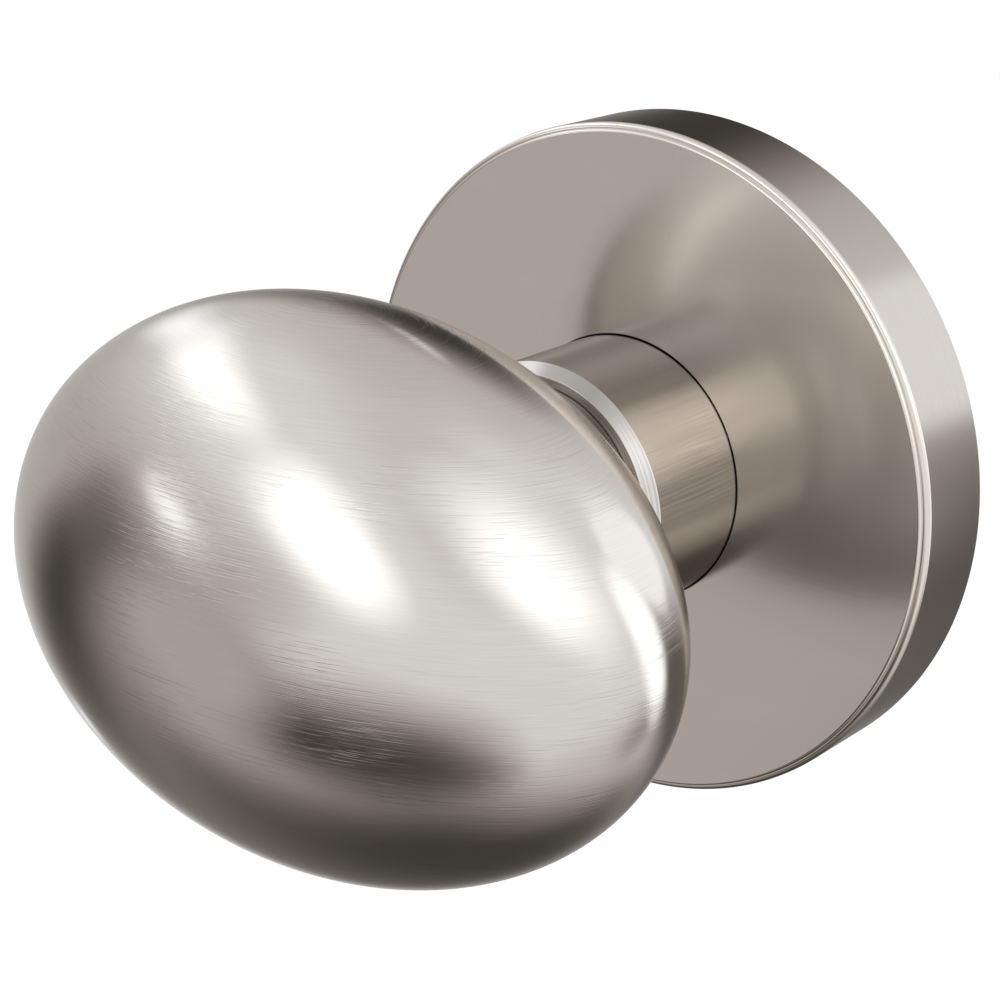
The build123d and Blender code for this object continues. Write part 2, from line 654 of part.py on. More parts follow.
with BuildPart() as circlip:
    with BuildSketch(Plane.XZ.offset(disc_spring_back_out)):
        Circle(circlip_groove_radius + CIRCLIP_WIDTH)
        for side in (-1, 1):
            with Locations((side * circlip_eye_x, -circlip_groove_radius - CIRCLIP_EYE_RADIUS)):
                Circle(CIRCLIP_EYE_RADIUS)
        Circle(circlip_groove_radius, mode=Mode.SUBTRACT)
        with Locations((0, -circlip_groove_radius)):
            Rectangle(CIRCLIP_MOUTH, 2 * circlip_groove_radius, mode=Mode.SUBTRACT)
        for side in (-1, 1):
            with Locations((side * circlip_eye_x, -circlip_groove_radius - CIRCLIP_EYE_RADIUS)):
                Circle(CIRCLIP_EYE_HOLE, mode=Mode.SUBTRACT)
    extrude(amount=-CIRCLIP_THICKNESS)

with BuildPart() as half_spindle:
    with BuildSketch(Plane.XZ.offset(spindle_front_out)):
        Rectangle(SPINDLE_ACROSS, SPINDLE_ACROSS)
    extrude(amount=-SPINDLE_INSIDE_DOOR - spindle_front_out)
    chamfer(half_spindle.faces().sort_by(Axis.Y)[0].edges(), length=SPINDLE_CHAMFER)
    chamfer(half_spindle.faces().sort_by(Axis.Y)[-1].edges(), length=SPINDLE_CHAMFER)
    with Locations(Plane.XY.offset(SPINDLE_ACROSS / 2)):
        with Locations((0, -pin_out)):
            Hole(PIN_RADIUS)

with BuildPart() as spindle_pin:
    with BuildSketch(Plane.XY.offset(-pin_half_length)):
        with Locations((0, -pin_out)):
            Circle(PIN_RADIUS)
            Circle(PIN_RADIUS - PIN_WALL, mode=Mode.SUBTRACT)
        with Locations((PIN_RADIUS, -pin_out)):
            Rectangle(2 * PIN_RADIUS, PIN_SLOT, mode=Mode.SUBTRACT)
    extrude(amount=2 * pin_half_length)

# ---------------------------------------------------------------- files
PIECES = {
    "rose_cover": rose_cover,
    "mounting_plate": mounting_plate,
    "neck_bush": neck_bush,
    "threaded_posts": threaded_posts,
    "cover_clips": cover_clips,
    "clip_rivets": clip_rivets,
    "spring_cage": spring_cage,
    "cage_screws": cage_screws,
    "tail_bush": tail_bush,
    "return_spring": return_spring,
    "knob_front_shell": knob_front_shell,
    "knob_back_shell": knob_back_shell,
    "neck_sleeve": neck_sleeve,
    "knob_shank": knob_shank,
    "backing_washer": backing_washer,
    "core_nut": core_nut,
    "thrust_washer": thrust_washer,
    "drive_cam": drive_cam,
    "disc_spring": disc_spring,
    "circlip": circlip,
    "half_spindle": half_spindle,
    "spindle_pin": spindle_pin,
}
for name, piece in PIECES.items():
    piece.part.label = name
    export_step(piece.part, f"parts/{name}.step")
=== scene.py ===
"""Finishes, visible skins, studio and camera for an egg-shaped door knob on a round rose.

The frame holds every solid of the knob, in metres: the origin is the centre of the rose's back,
the knob points out of the door along -Y and +Z is up.  "Out" is the distance from the door face.
"""

import json
import math

import bpy
import numpy as np
from mathutils import Matrix, Vector


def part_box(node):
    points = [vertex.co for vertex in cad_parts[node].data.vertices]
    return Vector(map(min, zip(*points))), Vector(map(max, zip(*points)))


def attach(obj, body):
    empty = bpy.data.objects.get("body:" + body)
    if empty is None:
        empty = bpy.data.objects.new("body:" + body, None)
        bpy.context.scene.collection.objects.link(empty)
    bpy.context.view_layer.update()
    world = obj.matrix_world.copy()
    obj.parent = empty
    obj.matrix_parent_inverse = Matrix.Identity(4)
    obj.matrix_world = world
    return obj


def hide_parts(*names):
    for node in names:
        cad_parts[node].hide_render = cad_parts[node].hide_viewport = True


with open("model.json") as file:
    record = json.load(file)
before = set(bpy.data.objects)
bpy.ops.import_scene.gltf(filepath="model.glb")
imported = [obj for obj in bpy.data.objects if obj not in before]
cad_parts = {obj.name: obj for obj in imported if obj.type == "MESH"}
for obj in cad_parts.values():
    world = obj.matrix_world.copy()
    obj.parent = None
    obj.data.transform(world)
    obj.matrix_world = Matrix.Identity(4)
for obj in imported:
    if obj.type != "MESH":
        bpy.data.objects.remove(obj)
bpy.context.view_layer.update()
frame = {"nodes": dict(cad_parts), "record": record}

bl_info = {
    "name": "Egg Door Knob",
    "version": (1, 0, 0),
    "blender": (4, 5, 0),
    "location": "View3D > Sidebar > Door Knob",
    "description": "Brushed skins, metal finishes and a small studio for a door knob on a round rose",
    "category": "Object",
}

MM = 0.001
# how far a guard point stands from an edge, to keep the flat beside it flat in smooth shading
GUARD = 0.03 * MM


# ---------------------------------------------------------------- sizes taken from the frame
def reach(node, axis, side=1):
    """How far a node reaches along an axis, 0 for X, 1 for Y or 2 for Z, to the high or low side."""
    low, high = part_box(node)
    return float(high[axis] if side > 0 else low[axis])


HEAD_FRONT = -reach("knob_front_shell", 1, -1)
HEAD_MIDDLE = -reach("knob_front_shell", 1)
ROSE_REACH = reach("rose_cover", 0)
ROSE_DEPTH = -reach("rose_cover", 1, -1)
NECK_REACH = reach("neck_sleeve", 0)
NECK_FRONT = -reach("neck_sleeve", 1, -1)
NECK_BACK = -reach("neck_sleeve", 1)


def length(name, description, default):
    """Length property in metres."""
    return bpy.props.FloatProperty(
        name=name, description=description, default=default, min=0.0, unit="LENGTH", precision=5
    )


def share(name, description, default, top=1.0):
    """Plain number property from nothing to a top value."""
    return bpy.props.FloatProperty(name=name, description=description, default=default, min=0.0, max=top)


def colour(name, description, default):
    """Colour property, linear."""
    return bpy.props.FloatVectorProperty(
        name=name, description=description, default=default, size=3, min=0.0, max=1.0, subtype="COLOR"
    )


class KnobHeadSizes(bpy.types.PropertyGroup):
    half_width: length("Half width", "Half of the egg's long axis", reach("knob_front_shell", 0))
    half_height: length("Half height", "Half of the egg's height", reach("knob_front_shell", 2))
    half_depth: length("Half depth", "Half of the egg's depth", HEAD_FRONT - HEAD_MIDDLE)
    middle_out: length("Middle", "Distance from the door to the egg's middle", HEAD_MIDDLE)
    wall: length("Wall", "Thickness of the pressed shell", 1.8 * MM)
    seat_out: length("Nut seat", "Distance from the door to the flat seat inside", 35.0 * MM)
    foot_radius: length("Foot radius", "Radius of the turned foot behind the egg", 11.2 * MM)
    foot_fillet: length("Foot fillet", "Radius of the cove between foot and egg", 6.0 * MM)
    foot_edge: length("Foot edge", "Broken edge of the foot where it meets the neck", 0.2 * MM)
    bore_radius: length("Bore radius", "Radius of the hole for the threaded core", 8.0 * MM)
    bore_flat: length("Bore flat", "Distance of the hole's two flats from the axis", 7.0 * MM)


class NeckSizes(bpy.types.PropertyGroup):
    radius: length("Radius", "Outside of the neck", NECK_REACH)
    front_out: length("Front", "Distance from the door to the neck's end", NECK_FRONT)
    back_out: length("Back", "Distance from the door to the neck's hidden end", NECK_BACK)
    wall: length("Wall", "Thickness of the tube", 1.5 * MM)
    end_wall: length("End wall", "Thickness of the neck's end", 2.0 * MM)
    bore_radius: length("Bore radius", "Radius of the hole in the end", 8.0 * MM)
    chamfer: length("Chamfer", "Width of the polished chamfer on the shoulder", 1.0 * MM)


class RoseSizes(bpy.types.PropertyGroup):
    radius: length("Radius", "Outside of the rose", ROSE_REACH)
    thickness: length("Thickness", "Depth of the rose", ROSE_DEPTH)
    face_wall: length("Face wall", "Thickness of the face", 1.6 * MM)
    skirt_wall: length("Skirt wall", "Thickness of the side", 1.8 * MM)
    hole_radius: length("Hole radius", "Radius of the hole for the neck", NECK_REACH + 0.11 * MM)
    ledge_width: length("Ledge width", "How far the face stands in from the side", 0.6 * MM)
    step_depth: length("Step depth", "How far the ledge lies behind the face", 0.32 * MM)
    step_round: length("Step round", "Radius of the face's edge", 0.3 * MM)
    side_round: length("Side round", "Radius between ledge and side", 0.55 * MM)
    inner_round: length("Inner round", "Radius inside, between face and side", 0.8 * MM)
    groove_out: length("Groove middle", "Distance from the door to the clips' groove", 5.1 * MM)
    groove_width: length("Groove width", "Width of the clips' groove", 1.8 * MM)
    groove_depth: length("Groove depth", "Depth of the clips' groove", 0.5 * MM)


class FinishSettings(bpy.types.PropertyGroup):
    nickel: colour("Satin nickel", "Plating of the knob head", (0.655, 0.612, 0.566))
    nickel_rose: colour("Rose nickel", "Plating of the rose", (0.705, 0.646, 0.587))
    # the neck's nickel is a darker copy of the head's nickel: painted shade for the neck between knob and
    # rose; the head's foot and cove use it as well
    nickel_neck: colour("Neck nickel", "Plating of the neck", (0.395, 0.354, 0.312))
    zinc_casting: colour("Zinc casting", "Bare casting of plate, cage and cam", (0.46, 0.47, 0.48))
    zinc_plate: colour("Zinc plating", "Bright plating of turned steel", (0.62, 0.64, 0.66))
    spring_steel: colour("Spring steel", "Oiled spring steel", (0.16, 0.15, 0.14))
    spindle: colour("Spindle bar", "Drawn square bar", (0.50, 0.50, 0.49))
    nylon: colour("Nylon", "Moulded black nylon", (0.035, 0.035, 0.037))
    head_roughness: share("Head roughness", "How much the knob head blurs reflections", 0.115)
    rose_roughness: share("Rose roughness", "How much the rose's face blurs reflections", 0.15)
    rose_haze: share("Rose haze", "Roughness of the wider haze round the rose's reflections", 0.5)
    neck_roughness: share("Neck roughness", "How much the neck blurs reflections", 0.24)


class StudioSettings(bpy.types.PropertyGroup):
    floor_below: length("Floor below", "How far the floor lies under the spindle", 1.2)
    distance: length("Lamp distance", "Distance of lamps and panels from the knob", 1.1)
    ambient: share("Ambient", "Level of the even light on plain surfaces", 0.55)
    floor_lift: share("Floor lift", "Light that the floor adds to its own, seen or mirrored", 0.53)
    floor_colour: colour("Floor", "Pale studio floor", (0.86, 0.86, 0.86))


class DoorKnobSettings(bpy.types.PropertyGroup):
    head: bpy.props.PointerProperty(name="Knob head", type=KnobHeadSizes)
    neck: bpy.props.PointerProperty(name="Neck", type=NeckSizes)
    rose: bpy.props.PointerProperty(name="Rose", type=RoseSizes)
    finish: bpy.props.PointerProperty(name="Finish", type=FinishSettings)
    studio: bpy.props.PointerProperty(name="Studio", type=StudioSettings)


# ---------------------------------------------------------------- surfaces
def signed_volume(points, faces):
    """Volume inside a closed mesh: a sixth of the sum of corner . (next x last) over its triangles."""
    a, b, c = points[faces[:, 0]], points[faces[:, 1]], points[faces[:, 2]]
    total = (a * np.cross(b, c)).sum()
    if faces.shape[1] == 4:
        d = points[faces[:, 3]]
        total += (a * np.cross(c, d)).sum()
    return total / 6


def band_faces(rows, columns, closed):
    """Quads between neighbouring rings: corners (i, j), (i, j+1), (i+1, j+1) and (i+1, j), round in j
    and, if closed, from the last ring to the first."""
    i = np.arange(rows if closed else rows - 1)[:, None]
    j = np.arange(columns)[None, :]
    here, there = i * columns, ((i + 1) % rows) * columns
    onward = (j + 1) % columns
    quads = np.stack(np.broadcast_arrays(here + j, here + onward, there + onward, there + j), axis=-1)
    return quads.reshape(-1, 4)


def fan_faces(pole, ring_start, columns):
    """Triangles from one point to a ring."""
    j = np.arange(columns)
    return np.stack([np.full(columns, pole), ring_start + j, ring_start + (j + 1) % columns], axis=-1)


def skin(name, rings, poles=None):
    """Mesh object through rings[i, j] of points.  With poles, the two ends close on them; without,
    the last ring joins the first.  Faces are turned so that the volume inside is positive."""
    rows, columns = rings.shape[:2]
    points = rings.reshape(-1, 3)
    quads = band_faces(rows, columns, closed=poles is None)
    triangles = np.zeros((0, 3), int)
    if poles is not None:
        points = np.concatenate([points, poles])
        low, high = rows * columns, rows * columns + 1
        triangles = np.concatenate(
            [fan_faces(low, 0, columns)[:, ::-1], fan_faces(high, (rows - 1) * columns, columns)]
        )
    if signed_volume(points, quads) + signed_volume(points, triangles) < 0:
        quads, triangles = quads[:, ::-1], triangles[:, ::-1]
    mesh = bpy.data.meshes.new(name)
    mesh.from_pydata(points.tolist(), [], quads.tolist() + triangles.tolist())
    mesh.polygons.foreach_set("use_smooth", np.ones(len(mesh.polygons), bool))
    mesh.update()
    made = bpy.data.objects.new(name, mesh)
    bpy.context.scene.collection.objects.link(made)
    return made


def swept(start, end, turn, t):
    """Arc from one unit vector to another, a turn apart, with t from 0 to 1:
    (sin((1 - t) turn) start + sin(t turn) end) / sin turn."""
    return (np.sin((1 - t) * turn) * start + np.sin(t * turn) * end) / np.sin(turn)


def rounded_profile(corners, rounds, steps=8, guard=GUARD):
    """Closed outline through corners (radius, out), each rounded by its radius: the arc touches both
    sides at round / tan(half the corner's angle) from the corner.  A guard point just beyond each
    arc's end keeps the flat sides flat in smooth shading."""
    corners = np.array(corners, float)
    back = np.roll(corners, 1, axis=0) - corners
    onward = np.roll(corners, -1, axis=0) - corners
    back /= np.linalg.norm(back, axis=1)[:, None]
    onward /= np.linalg.norm(onward, axis=1)[:, None]
    half = np.arccos(np.clip((back * onward).sum(axis=1), -1, 1)) / 2
    rounds = np.array(rounds, float)
    touch = rounds / np.tan(half)
    middle = (back + onward) / np.linalg.norm(back + onward, axis=1)[:, None]
    centre = corners + middle * (rounds / np.sin(half))[:, None]
    start = (corners + back * touch[:, None] - centre) / rounds[:, None]
    end = (corners + onward * touch[:, None] - centre) / rounds[:, None]
    turn = np.arccos(np.clip((start * end).sum(axis=1), -1, 1))[:, None, None]
    t = np.linspace(0, 1, steps + 1)[None, :, None]
    arc = centre[:, None] + rounds[:, None, None] * swept(start[:, None], end[:, None], turn, t)
    before = corners + back * (touch + guard)[:, None]
    after = corners + onward * (touch + guard)[:, None]
    return np.concatenate([before[:, None], arc, after[:, None]], axis=1).reshape(-1, 2)


def turned_rings(profile, around=360):
    """A profile of (radius, out) carried once round the spindle's axis: x = radius cos a,
    y = -out, z = radius sin a."""
    angle = np.linspace(0, 2 * math.pi, around, endpoint=False)[None, :]
    radius, out = profile[:, :1], profile[:, 1:]
    return np.stack(
        [radius * np.cos(angle), np.broadcast_to(-out, (len(profile), around)), radius * np.sin(angle)],
        axis=-1,
    )


def nearest_on_egg(point, half, rounds=48):
    """Nearest point of an egg about the origin, for points outside it: each coordinate is
    half^2 c / (half^2 + k), and k is halved in on until the point lies on the egg."""
    low = np.zeros(point.shape[:-1] + (1,))
    high = np.full_like(low, 1.0)
    for _ in range(rounds):
        k = (low + high) / 2
        beyond = ((half * point / (half**2 + k)) ** 2).sum(axis=-1, keepdims=True) > 1
        low, high = np.where(beyond, k, low), np.where(beyond, high, k)
    return half**2 * point / (half**2 + (low + high) / 2)


def rolling_ball(half, foot, ball, angle, rounds=40):
    """Centres of a ball that touches foot and egg, and its touching points on the egg.  The centre
    stands foot + ball from the axis, and its place along the axis is halved in on until it is one
    ball radius from the egg."""
    across = foot + ball
    low, high = np.zeros(angle.shape), np.full(angle.shape, half[1] + 2 * ball)
    for _ in range(rounds):
        along = (low + high) / 2
        centre = np.stack([across * np.cos(angle), along, across * np.sin(angle)], axis=-1)
        touch = nearest_on_egg(centre, half)
        near = np.linalg.norm(centre - touch, axis=-1) < ball
        low, high = np.where(near, along, low), np.where(near, high, along)
    return centre, touch


def egg_rings(half, first_polar, turn, shares):
    """Rings of an egg: x = hx sin p cos t, y = hy cos p, z = hz sin p sin t, with the polar angle p
    running from its first value to half a turn."""
    polar = first_polar[None, :] + (math.pi - first_polar[None, :]) * shares[:, None]
    return np.stack(
        [
            half[0] * np.sin(polar) * np.cos(turn)[None, :],
            half[1] * np.cos(polar),
            half[2] * np.sin(polar) * np.sin(turn)[None, :],
        ],
        axis=-1,
    )


def quarter_round(circle, lift, radius, out, edge, steps=6):
    """Rings of a broken edge: circle (radius - edge + edge sin t) + lift (out - edge + edge cos t),
    with t from nothing to a quarter turn."""
    t = np.linspace(0, math.pi / 2, steps + 1)[:, None, None]
    return circle * (radius - edge + edge * np.sin(t)) + lift * (out - edge + edge * np.cos(t))


def cove_rings(size, half, angle, circle, steps=24):
    """Rings of the cove: the arcs that a ball touching foot and egg makes from its touching point on
    the foot to that on the egg.  Also gives the ball's centres and the touching points on the egg."""
    ball = size.foot_fillet
    centre, touch = rolling_ball(half, size.foot_radius, ball, angle)
    start, end = -circle, (touch - centre) / ball
    turn = np.arccos((start * end).sum(axis=-1))[None, :, None]
    t = np.linspace(0, 1, steps + 1)[:, None, None]
    return centre + ball * swept(start, end, turn, t), centre, touch


def head_rings(size, around=336, hollow_rows=40, egg_rows=110):
    """Rings of the knob head about the egg's middle, with +Y to the door: from the hollow's front,
    back over the inner egg to the nut's seat, out through the bore, over the foot's edge, along
    the cove and over the outer egg to its front."""
    angle = np.linspace(0, 2 * math.pi, around, endpoint=False)
    circle = np.stack([np.cos(angle), np.zeros(around), np.sin(angle)], axis=-1)
    lift = np.array([0.0, 1.0, 0.0])
    half = np.array([size.half_width, size.half_depth, size.half_height])
    inner = half - size.wall
    seat = size.middle_out - size.seat_out
    foot_end = size.middle_out - bpy.context.scene.door_knob.neck.front_out

    seat_polar = np.full(around, math.acos(seat / inner[1]))
    hollow = egg_rings(inner, seat_polar, angle, np.linspace(0, 1, hollow_rows, endpoint=False))[::-1]
    bore = np.minimum(size.bore_radius, size.bore_flat / np.maximum(np.abs(np.cos(angle)), 1e-6))
    bore_ring = circle * bore[:, None]
    foot_ring = circle * (size.foot_radius - size.foot_edge - GUARD) + lift * foot_end
    foot_edge = quarter_round(circle, lift, size.foot_radius, foot_end, size.foot_edge)

    cove, centre, touch = cove_rings(size, half, angle, circle)
    beyond_cove = 0.05 * MM
    guard = circle * size.foot_radius + lift * (centre[:, 1:2] + beyond_cove)
    first_polar = np.arccos(touch[:, 1] / half[1])
    turn_round = np.arctan2(touch[:, 2] / half[2], touch[:, 0] / half[0])
    egg = egg_rings(half, first_polar, turn_round, np.linspace(0, 1, egg_rows, endpoint=False)[1:])

    bore_rings = [bore_ring + lift * seat, bore_ring + lift * foot_end]
    rings = np.concatenate([hollow, bore_rings, [foot_ring], foot_edge, [guard], cove, egg])
    poles = np.array([[0.0, -inner[1], 0.0], [0.0, -half[1], 0.0]])
    shift = np.array([0.0, -size.middle_out, 0.0])
    return rings + shift, poles + shift


def neck_profile(size):
    """Outline of the neck: a tube with an end wall, its front edge turned to a polished chamfer."""
    inside = size.radius - size.wall
    corners = [
        (size.bore_radius, size.front_out),
        (size.radius - size.chamfer, size.front_out),
        (size.radius, size.front_out - size.chamfer),
        (size.radius, size.back_out),
        (inside, size.back_out),
        (inside, size.front_out - size.end_wall),
        (size.bore_radius, size.front_out - size.end_wall),
    ]
    small = 0.1 * MM
    return rounded_profile(corners, [small, size.chamfer / 4, *[small] * 5], steps=10)


def rose_profile(size):
    """Outline of the rose: a cup with a raised face, a ledge round it, a rounded side and a groove
    inside for the clips."""
    face, ledge = size.thickness, size.thickness - size.step_depth
    raised = size.radius - size.ledge_width
    inside = size.radius - size.skirt_wall
    ceiling = size.thickness - size.face_wall
    low, high = size.groove_out - size.groove_width / 2, size.groove_out + size.groove_width / 2
    small, fine, finest = 0.12 * MM, 0.05 * MM, 0.02 * MM
    # each corner of the section, as its radius and distance out, with its rounding
    section = [
        (size.hole_radius, ceiling, small),
        (size.hole_radius, face, fine),
        (raised, face, size.step_round - fine / 2),
        (raised, ledge, finest),
        (size.radius, ledge, size.side_round - fine / 2),
        (size.radius, 0.0, small),
        (inside, 0.0, small),
        (inside, low, small),
        (inside + size.groove_depth, low, small),
        (inside + size.groove_depth, high, small),
        (inside, high, small),
        (inside, ceiling, size.inner_round),
    ]
    corners = [corner for *corner, _ in section]
    rounds = [rounding for *_, rounding in section]
    return rounded_profile(corners, rounds, guard=GUARD / 3)


# ---------------------------------------------------------------- shader maths
class Signal:
    """A socket that carries numbers; Python's operators on it add Math nodes."""

    def __init__(self, tree, socket):
        self.tree = tree
        self.socket = socket

    def maths(self, operation, *terms):
        return self.tree.add("ShaderNodeMath", {"operation": operation}, dict(enumerate(terms)))

    def __add__(self, other):
        return self.maths("ADD", self, other)

    def __sub__(self, other):
        return self.maths("SUBTRACT", self, other)

    def __mul__(self, other):
        return self.maths("MULTIPLY", self, other)

    def __truediv__(self, other):
        return self.maths("DIVIDE", self, other)

    def __pow__(self, other):
        return self.maths("POWER", self, other)

    def __rsub__(self, other):
        return self.maths("SUBTRACT", other, self)

    def __rtruediv__(self, other):
        return self.maths("DIVIDE", other, self)

    __radd__ = __add__
    __rmul__ = __mul__

    def atleast(self, floor):
        return self.maths("MAXIMUM", self, floor)

    def atmost(self, ceiling):
        return self.maths("MINIMUM", self, ceiling)

    def arcsine(self):
        return self.maths("ARCSINE", self)

    def ramp(self, low, high):
        """Smooth step: 0 at low, 1 at high."""
        settings = {"interpolation_type": "SMOOTHSTEP"}
        inputs = {"Value": self, "From Min": low, "From Max": high}
        return self.tree.add("ShaderNodeMapRange", settings, inputs)


class Nodes:
    """A node tree under construction: add() places a node and returns one of its outputs."""

    def __init__(self, tree):
        self.tree = tree
        tree.nodes.clear()

    def add(self, kind, settings=None, inputs=None, output=0):
        node = self.tree.nodes.new(kind)
        for key, value in (settings or {}).items():
            setattr(node, key, value)
        for key, value in (inputs or {}).items():
            if isinstance(value, Signal):
                self.tree.links.new(value.socket, node.inputs[key])
            else:
                node.inputs[key].default_value = value
        return Signal(self, node.outputs[output]) if len(node.outputs) else node

    def point(self):
        """Object coordinates, in metres."""
        return self.add("ShaderNodeTexCoord", output=3)

    def parts(self, vector):
        """The three parts of a vector."""
        node = self.add("ShaderNodeSeparateXYZ", inputs={"Vector": vector}).socket.node
        return [Signal(self, socket) for socket in node.outputs]

    def vector(self, x, y, z):
        return self.add("ShaderNodeCombineXYZ", inputs={"X": x, "Y": y, "Z": z})

    def noise(self, vector, scale=1.0, detail=2.0, roughness=0.5):
        inputs = {"Vector": vector, "Scale": scale, "Detail": detail, "Roughness": roughness}
        return self.add("ShaderNodeTexNoise", inputs=inputs)

    def blend(self, factor, first, second):
        """Colour between two colours."""
        inputs = {0: factor, 6: rgba(first), 7: rgba(second)}
        return self.add("ShaderNodeMix", {"data_type": "RGBA"}, inputs, output=2)

    def bump(self, height, depth, strength=1.0):
        inputs = {"Height": height, "Distance": depth, "Strength": strength}
        return self.add("ShaderNodeBump", inputs=inputs)

    def surface(self, **sockets):
        """Principled surface."""
        names = {key.replace("_", " ").title(): value for key, value in sockets.items()}
        return self.add("ShaderNodeBsdfPrincipled", inputs=names)

    def close(self, **sockets):
        """Principled surface and the tree's output."""
        self.add("ShaderNodeOutputMaterial", inputs={"Surface": self.surface(**sockets)})


def rgba(value):
    """A colour socket's value: links pass through, three numbers get an alpha of one."""
    return value if isinstance(value, Signal) else (*tuple(value)[:3], 1.0)


def shade(value, factor, tint=(1.0, 1.0, 1.0)):
    """A colour made lighter or darker by a factor, and then tinted."""
    return tuple(min(1.0, part * factor) * tone for part, tone in zip(tuple(value)[:3], tint))


def new_material(name):
    material = bpy.data.materials.new(name)
    material.use_nodes = True
    return material, Nodes(material.node_tree)


# ---------------------------------------------------------------- finishes
# steps of noise per metre across the fine rings that a lathe leaves
RING_RATE = 5200.0


def from_axis(x, z):
    """Distance from the spindle's axis."""
    return (x * x + z * z) ** 0.5


def lathe_rings(n, distance, y):
    """Fine turned rings: noise over the distance from the axis and the depth alone."""
    return n.noise(n.vector(distance * RING_RATE, y * RING_RATE, 0.0), detail=3.0, roughness=0.6)


def facing(x, z, radius, degrees):
    """Cosine of the angle round the neck between a place and a direction, counted from +X to +Z."""
    a = math.radians(degrees)
    return (x * math.cos(a) + z * math.sin(a)) / radius


def level_brushed_nickel(settings):
    """Satin nickel of the head: short hairlines lie level all round the egg, in patches, so they change
    with the angle above its middle and hardly along it.  The foot and its cove have turned rings, in a
    darker nickel that paints shade into the cove between egg and neck."""
    finish, head = settings.finish, settings.head
    material, n = new_material("finish_satin_nickel")
    point = n.point()
    x, y, z = n.parts(point)
    height = (z / head.half_height).atleast(-1.0).atmost(1.0)
    rise = height.arcsine()
    hair = n.noise(n.vector(x * 190.0, y * 190.0, rise * 300.0), detail=2.0, roughness=0.7)
    scratch = n.noise(n.vector(x * 170.0, y * 170.0, rise * 230.0), detail=1.0).ramp(0.58, 0.68)
    patch = n.noise(n.vector(x * 70.0, y * 70.0, z * 120.0), detail=2.0).ramp(0.40, 0.64)
    cloud = n.noise(point, scale=22.0, detail=3.0, roughness=0.55)
    wave = n.noise(n.vector(x * 40.0, y * 40.0, z * 60.0), detail=1.0)
    rings_start, rings_full = 34.5 * MM, 31.5 * MM
    foot = y.ramp(-rings_start, -rings_full)
    turned = lathe_rings(n, from_axis(x, z), y)

    tone = n.blend(cloud * 0.4 + hair * 0.6, shade(finish.nickel, 0.88), shade(finish.nickel, 1.12))
    tone = n.blend(scratch * patch * 0.6, tone, shade(finish.nickel, 0.84))
    # painted shade: the turned foot and cove take the neck's darker nickel, down to 0.4 of it
    rings = n.blend(turned.ramp(0.3, 0.7), shade(finish.nickel_neck, 0.4), shade(finish.nickel_neck, 1.15))
    tone = n.blend(foot, tone, rings)
    rough = finish.head_roughness + (hair - 0.5) * 0.06 + (cloud - 0.5) * 0.05 + foot * 0.06
    lines = (hair - scratch * 0.5) * (patch * 0.85 + 0.15)
    relief = (lines + wave * 2.0) * (1.0 - foot) + turned * foot
    n.close(base_color=tone, metallic=1.0, roughness=rough, normal=n.bump(relief, 0.01 * MM))
    return material


def rose_face(n, finish, drift, x, z):
    """Surface of the rose's face: brushed level, so it smears reflections up and down, with faint
    turned arcs in patches, and with a wider haze mixed in that is strongest at the right and above."""
    hair = n.noise(n.vector(x * 55.0, 0.0, z * 4200.0), detail=2.0, roughness=0.55)
    streak = n.noise(n.vector(x * 14.0, 0.0, z * 420.0), detail=3.0, roughness=0.6)
    arcs = n.noise(n.vector(from_axis(x, z) * 1500.0, x * 14.0, z * 14.0), detail=2.0, roughness=0.6)
    patch = n.noise(n.vector(x * 60.0, 0.0, z * 130.0), detail=1.0).ramp(0.45, 0.75)
    level = drift * 0.3 + streak * 0.4 + (hair * 0.2 + arcs * 0.3) * patch
    tone = n.blend(level, shade(finish.nickel_rose, 0.95), shade(finish.nickel_rose, 1.07))
    brushed = n.surface(
        base_color=tone,
        metallic=1.0,
        roughness=finish.rose_roughness + (streak - 0.5) * 0.05 + (drift - 0.5) * 0.04,
        anisotropic=0.6,
        anisotropic_rotation=0.25,
        normal=n.bump(hair * (patch * 0.75 + 0.25) + arcs * 0.2, 0.003 * MM),
    )
    haze = n.surface(base_color=tone, metallic=1.0, roughness=finish.rose_haze)
    right, above = x.ramp(-5 * MM, 20 * MM), z.ramp(-14 * MM, 6 * MM)
    return n.add("ShaderNodeMixShader", inputs={0: 0.08 + right * above * 0.52, 1: brushed, 2: haze})


def rose_rim(n, finish, rose, drift, x, y, z):
    """Surface of the rose's edge: polished at the face, then a darker side with fine turned rings."""
    rings = n.noise(n.vector(x * 12.0, y * RING_RATE, z * 12.0), detail=2.0, roughness=0.6)
    behind = rose.thickness + y
    side = behind.ramp(rose.step_depth + rose.side_round * 0.55, rose.step_depth + rose.side_round)
    bright, dull = shade(finish.nickel_rose, 1.04), shade(finish.nickel_rose, 0.72)
    return n.surface(
        base_color=n.blend(side * (0.85 + rings * 0.3), bright, dull),
        metallic=1.0,
        roughness=0.11 + side * 0.05 + (rings - 0.5) * 0.05,
        normal=n.bump(rings + drift * 0.4, 0.0006 * MM),
    )


def turned_nickel(settings):
    """Satin nickel of the rose: the face ends where the rounding of its edge begins."""
    finish, rose = settings.finish, settings.rose
    material, n = new_material("finish_satin_nickel_rose")
    point = n.point()
    x, y, z = n.parts(point)
    flat, blur = rose.radius - rose.ledge_width - rose.step_round, 0.04 * MM
    rim = from_axis(x, z).ramp(flat - blur, flat + blur)
    drift = n.noise(point, scale=38.0, detail=3.0, roughness=0.5)
    face = rose_face(n, finish, drift, x, z)
    edge = rose_rim(n, finish, rose, drift, x, y, z)
    both = n.add("ShaderNodeMixShader", inputs={0: rim, 1: face, 2: edge})
    n.add("ShaderNodeOutputMaterial", inputs={"Surface": both})
    return material


